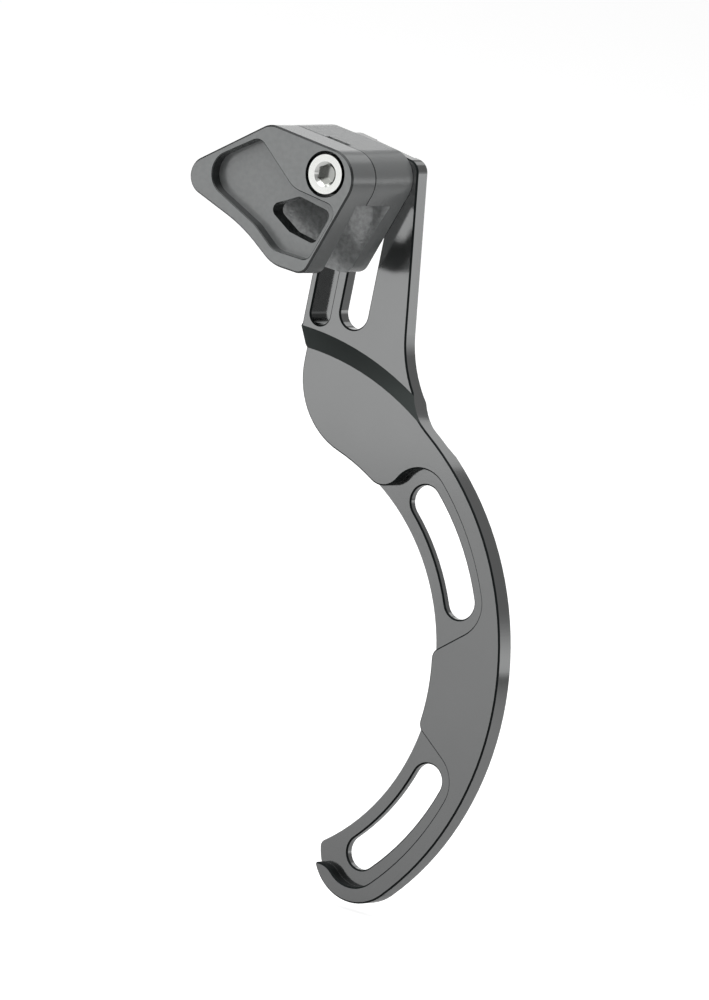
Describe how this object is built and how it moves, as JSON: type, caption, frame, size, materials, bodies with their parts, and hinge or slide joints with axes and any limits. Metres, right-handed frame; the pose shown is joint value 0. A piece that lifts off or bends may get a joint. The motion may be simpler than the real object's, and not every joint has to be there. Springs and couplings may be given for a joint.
{
  "type": "bicycle chain guide",
  "caption": "Crescent bracket with curved fixing slots and a slotted mast that carries a height-adjustable clamp-on chain cage.",
  "frame": {"origin": "on the rear mounting face, on the circle of the fixing slots and level with the crank axis, which lies 52.75 mm towards -X", "axes": "+Y out of the rear mounting face towards the frame, -Y towards the chainring, +Z along the mast's slots, away from the crank axis, +X from the crank axis towards the crescent"},
  "size_m": [0.0898, 0.027, 0.1609],
  "materials": {
    "arm": "grey anodised, satin",
    "cage": "moulded nylon, fine grain",
    "screw": "bright plated",
    "sleeve": "turned",
    "nut": "grey anodised, satin"
  },
  "bodies": {
    "arm": {"guide_arm": "arm"},
    "cage": {"outer_cage_half": "cage", "inner_cage_half": "cage", "clamp_screw": "screw", "clamp_sleeve": "sleeve", "slot_nut": "nut"}
  },
  "joints": [
    {"name": "cage_height", "type": "slide", "parent": "arm", "child": "cage", "axis": [0, 0, 1], "range_m": [-0.013, 0]}
  ]
}
